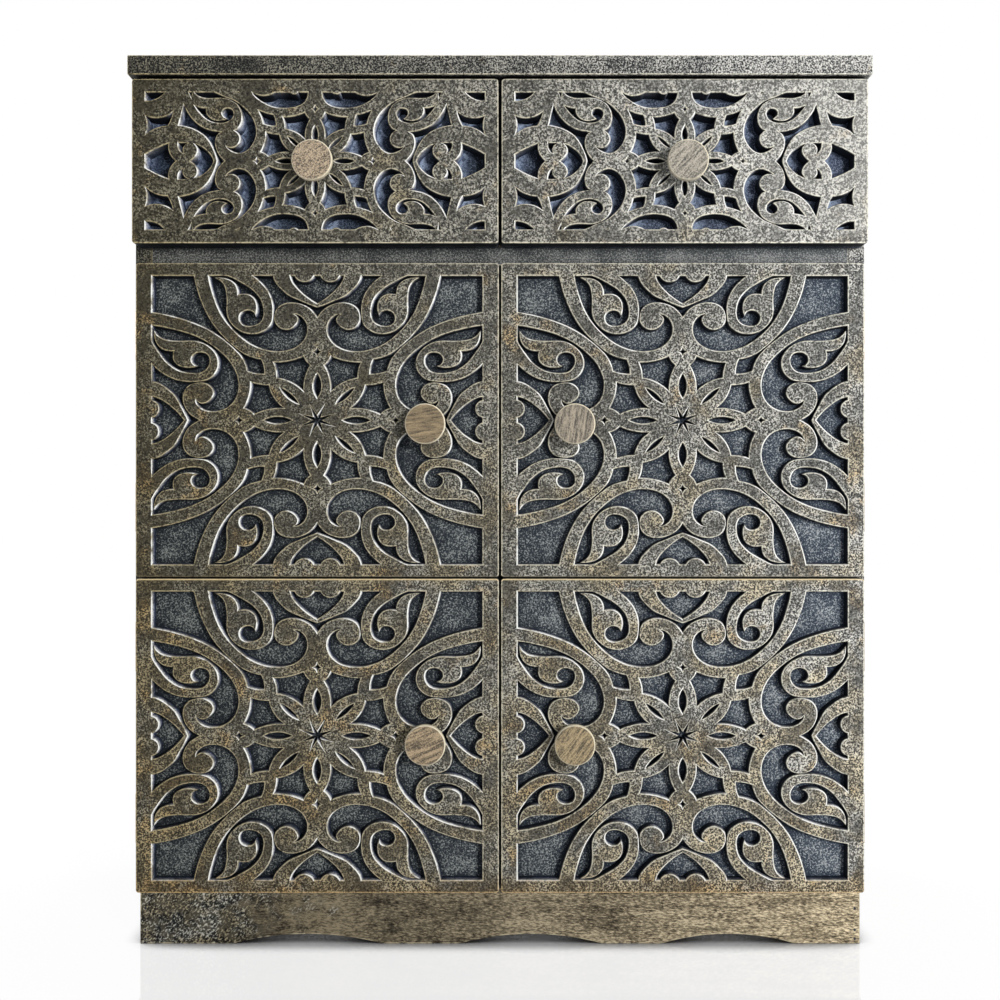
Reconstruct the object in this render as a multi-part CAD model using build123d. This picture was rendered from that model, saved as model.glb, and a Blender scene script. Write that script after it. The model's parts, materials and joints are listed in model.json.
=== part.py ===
"""Carved cabinet: two drawers above two pairs of doors, on a scalloped plinth.

Millimetres, +Z up, front towards -Y, left is -X. The origin lies on the floor
at the centre of the bounding box. Every drawer front and door is a plain
backing panel with a pierced, carved board laid on it, so that each hole in
the carved board becomes a sunk pocket.
"""
from build123d import *
import os
from math import cos, radians, sin

# ---------------------------------------------------------------- driving dimensions
# Carcass
carcass_width = 740.0
carcass_height = 818.0
carcass_depth = 326.0
side_thickness = 16.0
top_thickness = 19.0
top_front_lip = 4.0            # how far the top stands ahead of the drawer faces
deck_thickness = 19.0
shelf_thickness = 16.0
bottom_thickness = 16.0
divider_thickness = 16.0
back_thickness = 4.0
back_side_inset = 2.0

# Plinth
plinth_height = 58.0
plinth_thickness = 18.0
plinth_recess = 8.0            # front board behind the carcass front
plinth_side_inset = 2.0
plinth_block = 30.0            # square glue block in each corner
plinth_block_drop = 6.0        # block tops below the plinth top
arch_rise = 9.7
arches = ((-197.0, 153.0), (31.5, 145.0), (233.5, 136.0))   # centre, span
nail_radius = 1.3
nail_length = 30.0
nail_heights = (36.0, 14.0, 5.0)
nail_from_end = 5.3

# Doors
door_backing = 6.0
door_carving = 12.0
door_gap = 1.0                 # behind the closed door
door_meeting_gap = 2.3
door_row_gap = 1.6             # between the upper and lower doors
door_bottom_reveal = 2.6
door_frame_side = 16.0         # carved board's border beside the ornament
door_frame_end = 12.3          # the same above and below it
front_corner_radius = 3.0

# Drawers
drawer_backing = 6.0
drawer_carving = 18.0
drawer_gap = 0.5               # behind the closed drawer front
drawer_front_height = 163.7
drawer_top_gap = 2.9
drawer_meeting_gap = 3.1
drawer_side_reveal = 3.35
drawer_frame_side = 13.2
drawer_frame_end = 13.2
rail_reveal = 18.8             # deck edge that shows between drawers and doors
deck_lap = 1.6                 # drawer fronts reach this far below the deck top
box_back_gap = 26.5            # free space behind a closed drawer's box
box_top_gap = 34.7             # free space above it
box_wall = 12.0
box_bottom = 4.0
box_bottom_lift = 8.0
groove_depth = 5.0
drawer_side_clearance = 1.0
drawer_lift = 0.3              # running clearance on the deck

# Knobs and their screws
knob_radius = 20.0
knob_base_radius = 12.0
knob_length = 23.0
knob_rim = 6.0
knob_edge = 1.5
knob_hollow = 2.8              # how far the waist's outline bows in from a straight cone
knob_drop = 5.0                # below the middle of the ornament
door_knob_from_edge = 72.5
screw_radius = 2.0
screw_clearance = 0.15
screw_grip = 12.0              # length held in the knob
screw_head_radius = 4.2
screw_head_height = 2.2

# Hinges and catches
barrel_radius = 2.6
barrel_gap = 0.35              # barrel to the door's outer edge
pin_radius = 1.25
pin_fit = 0.05
pin_head = 0.5                 # pin standing out of each end of the barrel
leaf_thickness = 1.2
leaf_width = 10.5
hinge_height = 50.0
hinge_inset = 45.0
knuckle_height = 15.0          # each of the two knuckles on the frame leaf
knuckle_gap = 0.3
mortise_clearance = 0.3
catch_width = 36.0
catch_depth = 30.0
catch_height = 12.0
catch_from_middle = 15.0
catch_set_back = 0.1
strike_thickness = 0.7
strike_margin = 2.0

# ---------------------------------------------------------------- planes worked out from them
half_width = carcass_width / 2
inner_half = half_width - side_thickness
total_depth = (
    knob_length + drawer_carving + drawer_backing + drawer_gap + carcass_depth + back_thickness
)
back_y = total_depth / 2
carcass_back_y = back_y - back_thickness
front_y = carcass_back_y - carcass_depth

door_back_y = front_y - door_gap
door_panel_y = door_back_y - door_backing
door_face_y = door_panel_y - door_carving
drawer_back_y = front_y - drawer_gap
drawer_panel_y = drawer_back_y - drawer_backing
drawer_face_y = drawer_panel_y - drawer_carving

carcass_top_z = plinth_height + carcass_height
drawer_top_z = carcass_top_z - drawer_top_gap
drawer_bottom_z = drawer_top_z - drawer_front_height
deck_top_z = drawer_bottom_z + deck_lap
deck_bottom_z = deck_top_z - deck_thickness
upper_door_top_z = drawer_bottom_z - rail_reveal
lower_door_bottom_z = plinth_height + door_bottom_reveal
door_height = (upper_door_top_z - lower_door_bottom_z - door_row_gap) / 2
upper_door_bottom_z = upper_door_top_z - door_height
lower_door_top_z = lower_door_bottom_z + door_height
shelf_middle_z = (upper_door_bottom_z + lower_door_top_z) / 2
shelf_bottom_z = shelf_middle_z - shelf_thickness / 2

pin_x = half_width - barrel_radius
door_outer_x = pin_x - barrel_radius - barrel_gap
door_inner_x = door_meeting_gap / 2
door_width = door_outer_x - door_inner_x
door_middle_x = (door_outer_x + door_inner_x) / 2
pin_y = front_y - door_gap / 2

drawer_outer_x = half_width - drawer_side_reveal
drawer_inner_x = drawer_meeting_gap / 2
drawer_front_width = drawer_outer_x - drawer_inner_x
drawer_middle_x = (drawer_outer_x + drawer_inner_x) / 2
drawer_middle_z = (drawer_top_z + drawer_bottom_z) / 2
box_low_z = deck_top_z + drawer_lift
box_height = carcass_top_z - box_top_gap - box_low_z
box_depth = carcass_back_y - box_back_gap - drawer_back_y


# ---------------------------------------------------------------- helpers
def board(x_range, y_range, z_range):
    """A square-edged board between two values on each axis."""
    ranges = [sorted(span) for span in (x_range, y_range, z_range)]
    middle = [(low + high) / 2 for low, high in ranges]
    size = [high - low for low, high in ranges]
    return Pos(*middle) * Box(*size)


def rod(radius, x, z, y_from, y_to):
    """A round rod along Y between two values of Y."""
    start = Plane(origin=(x, min(y_from, y_to), z), z_dir=(0, 1, 0))
    return extrude(start * Circle(radius), abs(y_to - y_from))


def save(name, *solids):
    """Write one node, as one solid or a group of separate solids."""
    shape = solids[0] if len(solids) == 1 else Compound(children=list(solids))
    shape.label = name
    export_step(shape, f"parts/{name}.step")


# ---------------------------------------------------------------- ornament, as flat outlines
# An outline is a chain of point lists: two points make a line, three an arc
# and more a smooth curve. Points are (across, up) from the ornament's middle,
# in drawing units: carved_board stretches each ornament to fill its front.
def outline(start, *runs):
    """Chain runs of points, each starting where the last one ended."""
    segments = []
    for run in runs:
        segments.append([start, *run])
        start = run[-1]
    return segments


def moved(segments, move):
    return [[move(point) for point in segment] for segment in segments]


def upright(point):
    return (-point[0], point[1])


def level(point):
    return (point[0], -point[1])


def diagonal(point):
    return (point[1], point[0])


def quarter_turn(point):
    return (point[1], -point[0])


def closed_by(half, mirror):
    """Close a half outline that starts and ends on its mirror line."""
    back = [[mirror(point) for point in reversed(segment)] for segment in reversed(half)]
    return half + back


def four_turns(pocket):
    copies = [pocket]
    for _ in range(3):
        copies.append(moved(copies[-1], quarter_turn))
    return copies


def eight_ways(pocket):
    return four_turns(pocket) + four_turns(moved(pocket, upright))


def four_mirrors(pocket):
    pair = [pocket, moved(pocket, upright)]
    return pair + [moved(each, level) for each in pair]


def star(spikes, spike, notch):
    """A star whose spikes lie between the petals."""
    half_step = 180.0 / spikes
    corners = []
    for index in range(2 * spikes):
        reach = notch if index % 2 == 0 else spike
        angle = radians(index * half_step)
        corners.append((reach * cos(angle), reach * sin(angle)))
    return outline(corners[0], *[[corner] for corner in corners[1:]], [corners[0]])


def rosette():
    """Eight petals, the kites between them and the four small diamonds."""
    petal = closed_by(outline((0, 22), [(4.0, 35), (0, 48.4)]), upright)
    slant_petal = closed_by(outline((16.2, 16.2), [(23.0, 26.8), (33.6, 33.6)]), diagonal)
    kite = outline(
        (12.2, 65.8),
        [(25.0, 60.9), (39.3, 59.4)],
        [(36.8, 51.0), (36.2, 43.1)],
        [(23.5, 38.7), (12.0, 29.0)],
        [(10.8, 44.0), (5.9, 56.4)],
        [(9.6, 60.4), (12.2, 65.8)],
    )
    diamond = closed_by(
        outline((0, 64.9), [(1.6, 68.2), (4.3, 70)], [(1.6, 71.8), (0, 75.1)]), upright
    )
    pockets = eight_ways(kite)
    for shape in (petal, slant_petal, diamond):
        pockets += four_turns(shape)
    return pockets


def door_ornament():
    """The square motif that fills a door, with a star at its heart."""
    vine = closed_by(
        outline(
            (0, 104.5),
            # over the scroll's ball and round it into its curl
            [(3, 109.5), (8, 115), (15, 118.7), (23, 120), (30, 118.6), (35.2, 114.6), (38, 108.5),
             (38.2, 102.5), (36.2, 97.6), (32.6, 94.2), (27.6, 92.8), (20.8, 96), (17.3, 102.5),
             (21, 108.4)],
            # out of the curl and along the band to the frame
            [(16, 107.4), (11.5, 103.2), (8.8, 96), (9.2, 88), (12.6, 80.5), (20, 73.8), (35, 70),
             (50, 72.8), (61, 78.6), (69.5, 85.8), (76, 93), (81.8, 101), (86.8, 110), (90.7, 120),
             (93.6, 130), (96, 140), (97.3, 148)],
            [(81, 148)],
            # down the inside of the leaf into its own curl
            [(73.5, 144.4), (67, 140.4), (60.5, 136), (54.5, 130), (50.4, 123.6), (48.2, 116),
             (47.8, 107.5), (50, 101), (55, 97.1), (61, 95.8), (66.8, 97.6), (69.6, 102.4),
             (69, 108.2), (65.5, 111.8), (60.6, 112.6), (57, 110.8), (55.2, 107.6)],
            # round the leaf's lobe and up to its free tip
            [(54.2, 112), (54.2, 118), (56.6, 124.4), (61, 128), (66, 128.8), (71, 128)],
            [(71.3, 133.5), (73.8, 139.4), (78.5, 143.4), (84.5, 145.3), (91, 145.8)],
            # down the outside of the leaf, between it and the ball, and up to the frame
            [(86.5, 142.8), (83, 138), (81.2, 131), (80.6, 120), (80.8, 111), (79.4, 104),
             (76.6, 98.6), (72.2, 93.8), (67, 90.4), (60, 88.5), (52.4, 89.3), (46, 92.8),
             (41.8, 97.8), (39.9, 103.6), (39.4, 110), (39.7, 117), (41.3, 125), (44.2, 132),
             (49, 139), (58, 148)],
            [(39.4, 148)],
            [(37.2, 141.2), (31.5, 133.6), (25, 127.4), (18.5, 124), (10, 119.8), (0, 115.6)],
        ),
        upright,
    )
    arch = closed_by(
        outline(
            (0, 118.8),
            [(6.5, 123.4), (12, 128.2), (18, 134.8), (22.2, 141), (24.3, 148)],
            [(20.2, 148)],
            [(11.6, 141.6), (3, 148)],
            [(0, 148)],
        ),
        upright,
    )
    corner = closed_by(
        outline(
            (47, 47),
            [(47.6, 55), (50, 62.5)],
            [(59.6, 65.2), (68.6, 70.3)],
            # a groove between the two bands leads out into the corner
            [(75.4, 76.4), (81.6, 82.9), (88.2, 91.2), (94.2, 100.4), (99, 110), (103, 120),
             (106.2, 130), (108.6, 140), (110.2, 148)],
            [(148, 148)],
        ),
        diagonal,
    )
    pockets = [star(8, 17.5, 4.5)] + rosette()
    for shape in (vine, arch, corner):
        pockets += four_turns(shape)
    return pockets


def drawer_ornament():
    """The same motif drawn wider, cut off above and below by the border.

    It has no star, because the knob is screwed on there.
    """
    edge, rim = 196, 91.4
    across, up = 0.955, 0.985      # the rosette is drawn this much smaller here
    cut_scroll = outline(
        (8, rim),
        [(9.4, 83), (13.4, 76.6), (20, 72.4), (30, 70.1), (40, 70), (50, 72.2), (60, 77.4),
         (67, 83.2), (73, rim)],
        [(59, 86.8), (46, rim)],
        [(29, rim)],
        [(24.5, 89), (20, rim)],
        [(8, rim)],
    )
    slant_diamond = closed_by(
        outline((47, 47), [(47.6, 55), (50, 62.5)], [(58.5, 64.6), (69, 69)]), diagonal
    )
    scroll = outline(
        (103, 20),
        [(99.5, 15.4), (94, 11.6), (87, 10), (79, 13.2), (72.5, 21), (68.7, 30), (67.6, 40),
         (69, 49), (73, 59.5), (79, 68), (88.6, 77), (96.5, 81.7), (104.5, 85), (110.4, 88.6),
         (117.5, rim)],
        [(139.6, rim)],
        [(135.4, 86.4), (128, 83.4), (116, 83), (104.6, 83.2), (96.8, 80.2), (90, 75.2)],
        [(86.2, 68), (84.3, 60), (84.8, 52), (87.6, 45.2), (93.5, 40.6)],
        [(89.6, 37.2), (86.8, 32), (87, 26), (91, 20), (97, 17.6), (103, 20)],
    )
    notch = outline((86.6, 88.4), [(88, rim)], [(91.8, rim)], [(86.6, 88.4)])
    hook = outline(
        (139.5, 74),
        [(134, 65), (127, 57), (118, 51.6), (109, 50.2), (100, 52.4), (94.6, 58), (93.6, 64),
         (96.6, 69), (101.6, 70.2), (106.4, 67.4), (107.4, 62.6), (105.4, 58.6), (102, 55.8)],
        [(108, 53.8), (114, 53.6), (120, 56.2), (124, 61), (125, 70.4)],
        [(132, 71.2), (139.5, 74)],
    )
    wedge = outline((142.4, 82), [(141.6, rim)], [(146, rim)], [(142.4, 82)])
    brow = closed_by(
        outline(
            (104, 0),
            [(108.4, 5), (112.6, 12), (114.8, 21), (114.3, 30), (111.4, 36), (107.6, 38.6)],
            [(117, 40.2), (127, 43.6), (137, 51), (145, 61.6), (151.5, 75.5)],
            [(157.5, 47.2)],
            [(146, 44.6), (135, 39.4), (126, 31.6), (119.4, 20.6), (114.8, 8.8), (112.8, 0)],
        ),
        level,
    )
    almond = closed_by(
        outline(
            (116.8, 0),
            [(119.8, 7.6), (126, 15.4), (133, 20.6), (139.5, 23)],
            [(136.4, 18.4), (135.6, 12.4), (138.2, 6.4), (144.5, 0)],
        ),
        level,
    )
    curl = outline(
        (145, 24),
        [(158, 24.6)],
        [(157.8, 18), (155.4, 12.6), (151, 9.8)],
        [(152.4, 14), (151.2, 19), (148.6, 22.4), (145, 24)],
    )
    shield = closed_by(
        outline(
            (160, 0),
            [(165, 5.8), (168.2, 13), (168.5, 24)],
            [(183, 17.2), (edge, 9)],
            [(edge, 0)],
        ),
        level,
    )
    clasp = outline(
        (163.5, 66),
        [(177, 58.2), (edge, 60.5)],
        [(193.6, 48), (edge, 34)],
        [(184.5, 42.8), (170, 46.2)],
        [(166, 55), (163.5, 66)],
    )
    corner = outline((173, rim), [(182.5, 82.4), (edge, 79.5)], [(edge, rim)], [(173, rim)])
    pockets = [
        moved(pocket, lambda point: (point[0] * across, point[1] * up))
        for pocket in rosette() + four_turns(slant_diamond)
    ]
    for shape in (cut_scroll, scroll, hook, notch, wedge, curl, clasp, corner):
        pockets += four_mirrors(shape)
    for shape in (brow, almond, shield):
        pockets += [shape, moved(shape, upright)]
    return pockets


def wire_of(segments, place):
    """Turn an outline into a closed wire, each point put in space by place."""
    edges = []
    for segment in segments:
        points = [place(point) for point in segment]
        if len(points) == 2:
            edges.append(Edge.make_line(*points))
        elif len(points) == 3:
            edges.append(Edge.make_three_point_arc(*points))
        else:
            edges.append(Edge.make_spline(points))
    return Wire(edges)


def carved_board(ornament, size, border, middle, back, thickness, hole):
    """A board with rounded corners, pierced by the ornament and one screw hole.

    size and border are (across, up), middle is (x, z) and hole is (x, z). The
    outermost points of the ornament reach the border.
    """
    drawn = [point for pocket in ornament for segment in pocket for point in segment]
    reach = [max(point[axis] for point in drawn) for axis in (0, 1)]
    stretch = [(size[axis] / 2 - border[axis]) / reach[axis] for axis in (0, 1)]

    def place(point):
        return Vector(middle[0] + point[0] * stretch[0], back, middle[1] + point[1] * stretch[1])

    facing = Plane(origin=(middle[0], back, middle[1]), x_dir=(1, 0, 0), z_dir=(0, -1, 0))
    outer = (facing * RectangleRounded(*size, front_corner_radius)).wire()
    drilled = Plane(origin=(hole[0], back, hole[1]), z_dir=(0, -1, 0))
    holes = [wire_of(pocket, place) for pocket in ornament]
    holes.append((drilled * Circle(screw_radius + screw_clearance)).wire())
    return extrude(Face(outer, holes), thickness, dir=(0, -1, 0))


def plain_panel(size, middle, back, thickness, hole):
    """A backing panel with rounded corners and one screw hole."""
    facing = Plane(origin=(middle[0], back, middle[1]), x_dir=(1, 0, 0), z_dir=(0, -1, 0))
    panel = extrude(facing * RectangleRounded(*size, front_corner_radius), thickness)
    return panel - rod(screw_radius + screw_clearance, *hole, back, back - thickness)


# ---------------------------------------------------------------- knobs and their screws
def knob(x, z, face_y):
    """A turned knob: flat face, short rim and a waist that narrows to the base."""
    waist = knob_length - knob_rim
    profile = make_face(
        [
            Line((0, 0), (knob_base_radius, 0)),
            SagittaArc((knob_base_radius, 0), (knob_radius, waist), knob_hollow),
            Line((knob_radius, waist), (knob_radius, knob_length - knob_edge)),
            RadiusArc(
                (knob_radius, knob_length - knob_edge),
                (knob_radius - knob_edge, knob_length),
                -knob_edge,
            ),
            Line((knob_radius - knob_edge, knob_length), (0, knob_length)),
            Line((0, knob_length), (0, 0)),
        ]
    )
    turned = revolve(Plane.XZ * profile, Axis.Z)
    placed = Pos(x, face_y, z) * Rot(90, 0, 0) * turned
    return placed - rod(screw_radius, x, z, face_y, face_y - screw_grip)


def knob_screw(x, z, face_y, head_y):
    """A pan-head screw from behind, its end held in the knob."""
    shank = rod(screw_radius, x, z, head_y, face_y - screw_grip)
    head = rod(screw_head_radius, x, z, head_y, head_y + screw_head_height)
    return shank + head


# ---------------------------------------------------------------- hinges
def hinge_bottoms(door_bottom_z):
    """Lower ends of a door's two hinges."""
    return (
        door_bottom_z + hinge_inset,
        door_bottom_z + door_height - hinge_inset - hinge_height,
    )


def barrel(side, z_from, z_to):
    return extrude(
        Plane(origin=(side * pin_x, pin_y, z_from)) * Circle(barrel_radius), z_to - z_from
    )


def bored(shape, side, radius, bottom):
    """Bore a leaf's knuckles for the pin."""
    drill = Plane(origin=(side * pin_x, pin_y, bottom)) * Circle(radius)
    return shape - extrude(drill, hinge_height)


def leaf_edges(side):
    """X range of a leaf's plate: its outer end runs into the barrel."""
    inner = pin_x - barrel_radius - leaf_width
    return side * inner, side * (pin_x - pin_radius - pin_fit)


def frame_leaf(side, bottom):
    """Leaf let into the cabinet side, with the upper and lower knuckles."""
    top = bottom + hinge_height
    plate = board(leaf_edges(side), (front_y, front_y + leaf_thickness), (bottom, top))
    window = board(
        (side * (pin_x - barrel_radius - barrel_gap), side * half_width),
        (front_y - barrel_radius, front_y + 2 * barrel_radius),
        (bottom + knuckle_height, top - knuckle_height),
    )
    leaf = plate - window
    leaf += barrel(side, bottom, bottom + knuckle_height)
    leaf += barrel(side, top - knuckle_height, top)
    return bored(leaf, side, pin_radius, bottom)


def door_leaf(side, bottom):
    """Leaf let into the door's back, with the middle knuckle."""
    low = bottom + knuckle_height + knuckle_gap
    high = bottom + hinge_height - knuckle_height - knuckle_gap
    inner, outer = leaf_edges(side)
    plate = board(
        (inner, side * door_outer_x),
        (door_back_y - leaf_thickness, door_back_y),
        (bottom, bottom + hinge_height),
    )
    tongue = board((inner, outer), (door_back_y - leaf_thickness, door_back_y), (low, high))
    return bored(plate + tongue + barrel(side, low, high), side, pin_radius + pin_fit, bottom)


def hinge_pin(side, bottom):
    base = Plane(origin=(side * pin_x, pin_y, bottom - pin_head))
    return extrude(base * Circle(pin_radius), hinge_height + 2 * pin_head)


def frame_mortise(side, bottom):
    """Waste cut from a cabinet side's front edge for one hinge."""
    low = bottom - mortise_clearance
    high = bottom + hinge_height + mortise_clearance
    plate_seat = board(
        (side * (pin_x - barrel_radius - leaf_width), side * pin_x),
        (front_y, front_y + leaf_thickness),
        (bottom, bottom + hinge_height),
    )
    barrel_seat = board(
        (side * (pin_x - barrel_radius - barrel_gap), side * half_width),
        (front_y, pin_y + barrel_radius + mortise_clearance),
        (low - pin_head, high + pin_head),
    )
    return plate_seat + barrel_seat


def door_mortise(side, bottom):
    """Waste cut from a door's back for one hinge leaf."""
    return board(
        (side * (pin_x - barrel_radius - leaf_width), side * door_outer_x),
        (door_back_y - leaf_thickness, door_back_y),
        (bottom, bottom + hinge_height),
    )


# ---------------------------------------------------------------- carcass
def carcass_side(side):
    blank = board(
        (side * inner_half, side * half_width),
        (front_y, carcass_back_y),
        (plinth_height, carcass_top_z),
    )
    for door_bottom_z in (lower_door_bottom_z, upper_door_bottom_z):
        for bottom in hinge_bottoms(door_bottom_z):
            blank -= frame_mortise(side, bottom)
    return blank


def cross_board(bottom_z, thickness):
    """A board between the two sides, full depth."""
    return board(
        (-inner_half, inner_half), (front_y, carcass_back_y), (bottom_z, bottom_z + thickness)
    )


def make_carcass():
    save("side_left", carcass_side(-1))
    save("side_right", carcass_side(1))
    save("bottom_board", cross_board(plinth_height, bottom_thickness))
    save("shelf", cross_board(shelf_bottom_z, shelf_thickness))
    save("drawer_deck", cross_board(deck_bottom_z, deck_thickness))
    save(
        "drawer_divider",
        board(
            (-divider_thickness / 2, divider_thickness / 2),
            (front_y, carcass_back_y),
            (deck_top_z, carcass_top_z),
        ),
    )
    back_half = half_width - back_side_inset
    save(
        "back_panel",
        board((-back_half, back_half), (carcass_back_y, back_y), (plinth_height, carcass_top_z)),
    )
    save(
        "top_board",
        board(
            (-half_width, half_width),
            (drawer_face_y - top_front_lip, back_y),
            (carcass_top_z, carcass_top_z + top_thickness),
        ),
    )


# ---------------------------------------------------------------- plinth
plinth_half = half_width - plinth_side_inset
plinth_face_y = front_y + plinth_recess
plinth_inner_y = plinth_face_y + plinth_thickness


def plinth_front():
    """The front board, its lower edge cut into three shallow arches."""
    edges = []
    x = -plinth_half
    for centre, span in arches:
        start, end = centre - span / 2, centre + span / 2
        edges.append(Line((x, 0), (start, 0)))
        edges.append(ThreePointArc((start, 0), (centre, arch_rise), (end, 0)))
        x = end
    edges.append(Line((x, 0), (plinth_half, 0)))
    edges.append(Line((plinth_half, 0), (plinth_half, plinth_height)))
    edges.append(Line((plinth_half, plinth_height), (-plinth_half, plinth_height)))
    edges.append(Line((-plinth_half, plinth_height), (-plinth_half, 0)))
    facing = Plane(origin=(0, plinth_inner_y, 0), x_dir=(1, 0, 0), z_dir=(0, -1, 0))
    return extrude(facing * make_face(edges), plinth_thickness)


def nail_places():
    nail_x = plinth_half - nail_from_end
    return [(side * nail_x, z) for side in (-1, 1) for z in nail_heights]


def make_plinth():
    front = plinth_front()
    rails = {}
    for name, side in (("left", -1), ("right", 1)):
        rails[name] = board(
            (side * (plinth_half - plinth_thickness), side * plinth_half),
            (plinth_inner_y, back_y - plinth_thickness),
            (0, plinth_height),
        )
    nails = []
    for x, z in nail_places():
        nail = rod(nail_radius, x, z, plinth_face_y, plinth_face_y + nail_length)
        front -= nail
        name = "left" if x < 0 else "right"
        rails[name] -= nail
        nails.append(nail)
    save("plinth_front", front)
    save("plinth_side_left", rails["left"])
    save("plinth_side_right", rails["right"])
    save(
        "plinth_back",
        board((-plinth_half, plinth_half), (back_y - plinth_thickness, back_y), (0, plinth_height)),
    )
    save("plinth_nails", *nails)
    inner_x = plinth_half - plinth_thickness
    blocks = []
    for side in (-1, 1):
        for y_from, y_to in (
            (plinth_inner_y, plinth_inner_y + plinth_block),
            (back_y - plinth_thickness - plinth_block, back_y - plinth_thickness),
        ):
            blocks.append(
                board(
                    (side * (inner_x - plinth_block), side * inner_x),
                    (y_from, y_to),
                    (plinth_block_drop, plinth_height),
                )
            )
    save("plinth_corner_blocks", *blocks)


# ---------------------------------------------------------------- doors
def make_door(name, side, bottom_z, motif):
    middle = (side * door_middle_x, bottom_z + door_height / 2)
    size = (door_width, door_height)
    hole = (side * (door_inner_x + door_knob_from_edge), middle[1] - knob_drop)
    panel = plain_panel(size, middle, door_back_y, door_backing, hole)
    leaves = []
    for bottom in hinge_bottoms(bottom_z):
        panel -= door_mortise(side, bottom)
        leaves.append(door_leaf(side, bottom))
    save(f"{name}_panel", panel)
    border = (door_frame_side, door_frame_end)
    save(
        f"{name}_carving",
        carved_board(motif, size, border, middle, door_panel_y, door_carving, hole),
    )
    save(f"{name}_hinge_leaves", *leaves)
    save(f"{name}_knob", knob(*hole, door_face_y))
    save(f"{name}_knob_screw", knob_screw(*hole, door_face_y, door_back_y))
    catch_top = underside_behind(bottom_z)
    strike_x = catch_from_middle + strike_margin
    save(
        f"{name}_strike_plate",
        board(
            (side * strike_x, side * (strike_x + catch_width - 2 * strike_margin)),
            (door_back_y, door_back_y + strike_thickness),
            (catch_top - catch_height + strike_margin, catch_top - strike_margin),
        ),
    )


def underside_behind(door_bottom_z):
    """Underside of the board behind a door's top, which its catch is fixed to."""
    return shelf_bottom_z if door_bottom_z == lower_door_bottom_z else deck_bottom_z


def make_door_hardware():
    """What stays on the carcass: frame leaves, pins and magnetic catches."""
    leaves = []
    pins = []
    catches = []
    for side in (-1, 1):
        for door_bottom_z in (lower_door_bottom_z, upper_door_bottom_z):
            for bottom in hinge_bottoms(door_bottom_z):
                leaves.append(frame_leaf(side, bottom))
                pins.append(hinge_pin(side, bottom))
        for underside in (shelf_bottom_z, deck_bottom_z):
            catches.append(
                board(
                    (side * catch_from_middle, side * (catch_from_middle + catch_width)),
                    (front_y + catch_set_back, front_y + catch_set_back + catch_depth),
                    (underside - catch_height, underside),
                )
            )
    save("hinge_frame_leaves", *leaves)
    save("hinge_pins", *pins)
    save("door_catches", *catches)


# ---------------------------------------------------------------- drawers
def make_drawer(name, side, motif):
    middle = (side * drawer_middle_x, drawer_middle_z)
    size = (drawer_front_width, drawer_front_height)
    hole = (middle[0], middle[1] - knob_drop)
    save(f"{name}_front", plain_panel(size, middle, drawer_back_y, drawer_backing, hole))
    border = (drawer_frame_side, drawer_frame_end)
    save(
        f"{name}_carving",
        carved_board(motif, size, border, middle, drawer_panel_y, drawer_carving, hole),
    )
    save(f"{name}_knob", knob(*hole, drawer_face_y))
    save(f"{name}_knob_screw", knob_screw(*hole, drawer_face_y, drawer_back_y + box_wall))

    low_x = divider_thickness / 2 + drawer_side_clearance
    high_x = inner_half - drawer_side_clearance
    box_y = (drawer_back_y, drawer_back_y + box_depth)
    box_z = (box_low_z, box_low_z + box_height)
    bottom_z = box_low_z + box_bottom_lift
    base = board(
        (side * (low_x + box_wall - groove_depth), side * (high_x - box_wall + groove_depth)),
        (box_y[0] + box_wall - groove_depth, box_y[1] - box_wall + groove_depth),
        (bottom_z, bottom_z + box_bottom),
    )
    save(f"{name}_bottom", base)
    walls = {
        "side_inner": ((low_x, low_x + box_wall), box_y),
        "side_outer": ((high_x - box_wall, high_x), box_y),
        "box_front": ((low_x + box_wall, high_x - box_wall), (box_y[0], box_y[0] + box_wall)),
        "box_back": ((low_x + box_wall, high_x - box_wall), (box_y[1] - box_wall, box_y[1])),
    }
    for part, (x_range, y_range) in walls.items():
        wall = board([side * x for x in x_range], y_range, box_z) - base
        if part == "box_front":
            wall -= rod(screw_radius + screw_clearance, *hole, *y_range)
        save(f"{name}_{part}", wall)


# ---------------------------------------------------------------- build
def main():
    os.makedirs("parts", exist_ok=True)
    make_carcass()
    make_plinth()
    make_door_hardware()
    door_motif = door_ornament()
    for row, bottom_z in (("upper", upper_door_bottom_z), ("lower", lower_door_bottom_z)):
        for column, side in (("left", -1), ("right", 1)):
            make_door(f"door_{row}_{column}", side, bottom_z, door_motif)
    drawer_motif = drawer_ornament()
    for column, side in (("left", -1), ("right", 1)):
        make_drawer(f"drawer_{column}", side, drawer_motif)


main()
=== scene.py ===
"""Looks of the carved cabinet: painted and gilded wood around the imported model.

Metres, in the model's own frame: +Z up, front towards -Y. The carved boards
and the plinth front are rebuilt with rounded lips from their own outlines. Every
other node keeps its shape and gets a finish and, but for the knobs, softened edges.
"""
import json
from math import cos, pi, radians

import bpy
import numpy as np
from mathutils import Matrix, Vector
from mathutils.geometry import delaunay_2d_cdt

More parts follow.
